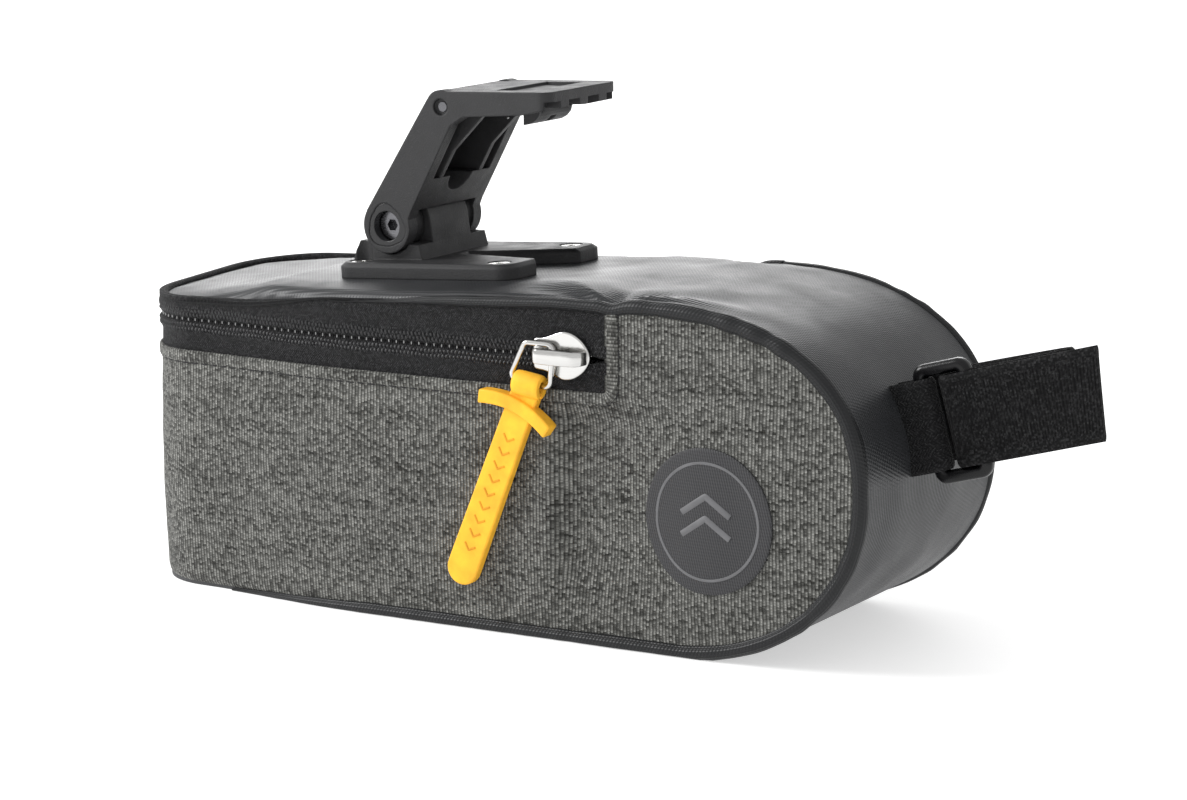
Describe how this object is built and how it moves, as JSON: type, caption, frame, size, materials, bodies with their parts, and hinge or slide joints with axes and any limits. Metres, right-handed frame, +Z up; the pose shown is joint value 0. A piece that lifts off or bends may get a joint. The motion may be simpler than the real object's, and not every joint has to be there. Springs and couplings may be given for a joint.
{
  "type": "bicycle saddle bag",
  "caption": "Rigid-sided wedge saddle bag with a zipped lid, a tilting clip-on saddle bracket and a hook-and-loop seat-post strap.",
  "frame": {"origin": "middle of the bag's flat bottom face", "axes": "+X towards the rounded front and the seat post, +Y to the rider's left, +Z up"},
  "size_m": [0.2503, 0.0739, 0.1238],
  "materials": {
    "grey_melange": "woven two-tone melange, near-black and light grey threads",
    "coated_fabric": "coated weave with a fine dobby relief, satin",
    "stiffener": "polyethylene board",
    "badge_rubber": "matt moulded patch with fine diagonal ribs",
    "zip_tape": "herringbone zipper tape",
    "zip_coil": "nylon coil",
    "bracket_nylon": "glass-filled nylon, fine spark texture",
    "screw_steel": "plain steel",
    "black_steel": "black oxide",
    "spring_steel": "spring wire",
    "slider_chrome": "nickel plated",
    "yellow_rubber": "matt amber yellow silicone",
    "ring_plastic": "moulded acetal, satin gloss",
    "strap_webbing": "hook-and-loop webbing with ribbed selvedges"
  },
  "bodies": {
    "bag": {"side_fabric": "grey_melange", "gusset_band": "coated_fabric", "piping_right": "coated_fabric", "piping_left": "coated_fabric", "bottom_board": "stiffener", "badge": "badge_rubber", "lower_zip_tape": "zip_tape", "lower_zip_coil": "zip_coil", "strap_anchor": "strap_webbing", "strap_ring": "ring_plastic", "strap_loop": "strap_webbing"},
    "lid": {"upper_zip_tape": "zip_tape", "upper_zip_coil": "zip_coil", "lid_panel": "coated_fabric", "lid_rim": "zip_tape", "lid_board": "stiffener", "backing_plate": "bracket_nylon", "base_screws": "screw_steel", "base_nuts": "screw_steel", "bracket_base": "bracket_nylon"},
    "arm": {"tilt_arm": "bracket_nylon", "insert_right": "bracket_nylon", "insert_left": "bracket_nylon", "pivot_bolt": "black_steel", "pivot_nut": "screw_steel", "release_pin": "black_steel", "latch_spring": "spring_steel"},
    "latch": {"latch_lever": "bracket_nylon"},
    "slider": {"zip_slider": "slider_chrome", "slider_bridge": "slider_chrome"},
    "ring": {"pull_ring": "slider_chrome"},
    "pull": {"puller": "yellow_rubber"},
    "tail": {"strap_tail": "strap_webbing"}
  },
  "joints": [
    {"name": "lid_open", "type": "hinge", "parent": "bag", "child": "lid", "pos_m": [0.0385, 0, 0.0813], "axis": [0, 1, 0], "range_deg": [0, 60]},
    {"name": "arm_tilt", "type": "hinge", "parent": "lid", "child": "arm", "pos_m": [-0.0346, 0, 0.0901], "axis": [0, 1, 0], "range_deg": [-60, 25]},
    {"name": "latch_press", "type": "hinge", "parent": "arm", "child": "latch", "pos_m": [-0.0187, 0, 0.1192], "axis": [0, -1, 0], "range_deg": [0, 3], "stiffness_Nm_per_rad": 0.02, "springref_deg": -17.19},
    {"name": "zip_slide", "type": "slide", "parent": "bag", "child": "slider", "axis": [-1, 0, 0], "range_m": [0, 0.055]},
    {"name": "ring_flip", "type": "hinge", "parent": "slider", "child": "ring", "pos_m": [0.0236, -0.0367, 0.0642], "axis": [0.0995, 0, 0.995], "range_deg": [0, 90]},
    {"name": "puller_lift", "type": "hinge", "parent": "ring", "child": "pull", "pos_m": [0.01775, -0.0367, 0.06], "axis": [-0.989, 0, 0.1479], "range_deg": [0, 90]},
    {"name": "tail_peel", "type": "hinge", "parent": "bag", "child": "tail", "pos_m": [0.11245, -0.012, 0.05544], "axis": [0.2588, 0, -0.9659], "range_deg": [0, 90]}
  ]
}
